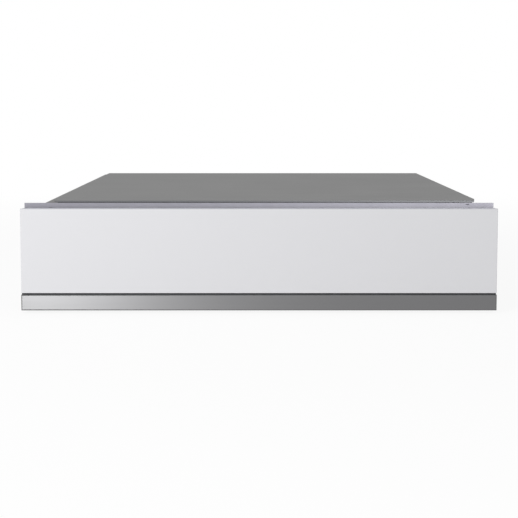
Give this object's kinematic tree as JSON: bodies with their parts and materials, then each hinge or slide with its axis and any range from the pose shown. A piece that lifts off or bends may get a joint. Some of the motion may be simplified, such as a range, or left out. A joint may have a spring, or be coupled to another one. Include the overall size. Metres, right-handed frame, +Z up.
{
  "type": "built-in storage drawer",
  "caption": "Low, wide built-in kitchen drawer: sheet-steel casing with a mounting flange, ball-bearing rails, touch latch and a handle-less white glass front with a metal strip.",
  "frame": {"origin": "middle of the overall footprint, on the underside of the base pan", "axes": "+X to the right seen from the front, +Y from the front to the rear, +Z up"},
  "size_m": [0.596, 0.5486, 0.14],
  "materials": {
    "casing_steel": "satin galvanised sheet",
    "lid_steel": "fine brushed",
    "fastener_steel": "zinc plated",
    "rail_steel": "bright zinc plated",
    "ball_steel": "polished",
    "drawer_steel": "smooth grey coating",
    "white_glass": "white, backed, glossy",
    "trim_metal": "satin",
    "dark_rubber": "matte",
    "tape": "soft",
    "latch_plastic": "smooth",
    "latch_steel": "plain"
  },
  "bodies": {
    "casing": {"base_pan": "casing_steel", "left_wall": "casing_steel", "right_wall": "casing_steel", "back_panel": "casing_steel", "lid": "lid_steel", "front_crossbar": "casing_steel", "mounting_flange": "casing_steel", "flange_rivets": "fastener_steel", "base_screws": "fastener_steel", "back_screws": "fastener_steel", "lid_screws": "fastener_steel", "left_cabinet_rail": "rail_steel", "right_cabinet_rail": "rail_steel", "left_rail_buffer": "dark_rubber", "right_rail_buffer": "dark_rubber", "left_rail_screws": "fastener_steel", "right_rail_screws": "fastener_steel", "latch_housing": "latch_plastic", "latch_end_cap": "latch_plastic", "latch_screws": "fastener_steel", "latch_spring": "latch_steel"},
    "latch_plunger": {"latch_plunger": "latch_plastic", "latch_magnet": "latch_steel"},
    "drawer": {"drawer_base": "drawer_steel", "drawer_left_side": "drawer_steel", "drawer_right_side": "drawer_steel", "drawer_back": "drawer_steel", "anti_slip_mat": "dark_rubber", "inner_front": "drawer_steel", "front_carrier": "drawer_steel", "front_glass": "white_glass", "bonding_strips": "tape", "trim_profile": "trim_metal", "trim_seal": "dark_rubber", "trim_clips": "latch_plastic", "front_screws": "fastener_steel", "strike_plate": "latch_steel", "strike_screws": "fastener_steel", "left_drawer_rail": "rail_steel", "right_drawer_rail": "rail_steel", "left_rail_rivets": "fastener_steel", "right_rail_rivets": "fastener_steel"},
    "left_middle": {"left_middle_rail": "rail_steel"},
    "left_outer_cage": {"left_outer_cage": "rail_steel", "left_outer_balls": "ball_steel"},
    "left_inner_cage": {"left_inner_cage": "rail_steel", "left_inner_balls": "ball_steel"},
    "right_middle": {"right_middle_rail": "rail_steel"},
    "right_outer_cage": {"right_outer_cage": "rail_steel", "right_outer_balls": "ball_steel"},
    "right_inner_cage": {"right_inner_cage": "rail_steel", "right_inner_balls": "ball_steel"}
  },
  "joints": [
    {"name": "latch_travel", "type": "slide", "parent": "casing", "child": "latch_plunger", "axis": [0, -1, 0], "range_m": [-0.0025, 0.03], "deforming": ["latch_spring"]},
    {"name": "drawer_slide", "type": "slide", "parent": "latch_plunger", "child": "drawer", "axis": [0, -1, 0], "range_m": [0, 0.42]},
    {"name": "left_middle_slide", "type": "slide", "parent": "casing", "child": "left_middle", "axis": [0, -1, 0], "range_m": [0, 0.21]},
    {"name": "left_outer_cage_slide", "type": "slide", "parent": "casing", "child": "left_outer_cage", "axis": [0, -1, 0], "range_m": [0, 0.105]},
    {"name": "left_inner_cage_slide", "type": "slide", "parent": "casing", "child": "left_inner_cage", "axis": [0, -1, 0], "range_m": [0, 0.315]},
    {"name": "right_middle_slide", "type": "slide", "parent": "casing", "child": "right_middle", "axis": [0, -1, 0], "range_m": [0, 0.21]},
    {"name": "right_outer_cage_slide", "type": "slide", "parent": "casing", "child": "right_outer_cage", "axis": [0, -1, 0], "range_m": [0, 0.105]},
    {"name": "right_inner_cage_slide", "type": "slide", "parent": "casing", "child": "right_inner_cage", "axis": [0, -1, 0], "range_m": [0, 0.315]}
  ],
  "couplings": [
    {"joint": "left_middle_slide", "follows": "drawer_slide", "ratio": 0.5},
    {"joint": "left_outer_cage_slide", "follows": "drawer_slide", "ratio": 0.25},
    {"joint": "left_inner_cage_slide", "follows": "drawer_slide", "ratio": 0.75},
    {"joint": "right_middle_slide", "follows": "drawer_slide", "ratio": 0.5},
    {"joint": "right_outer_cage_slide", "follows": "drawer_slide", "ratio": 0.25},
    {"joint": "right_inner_cage_slide", "follows": "drawer_slide", "ratio": 0.75}
  ]
}
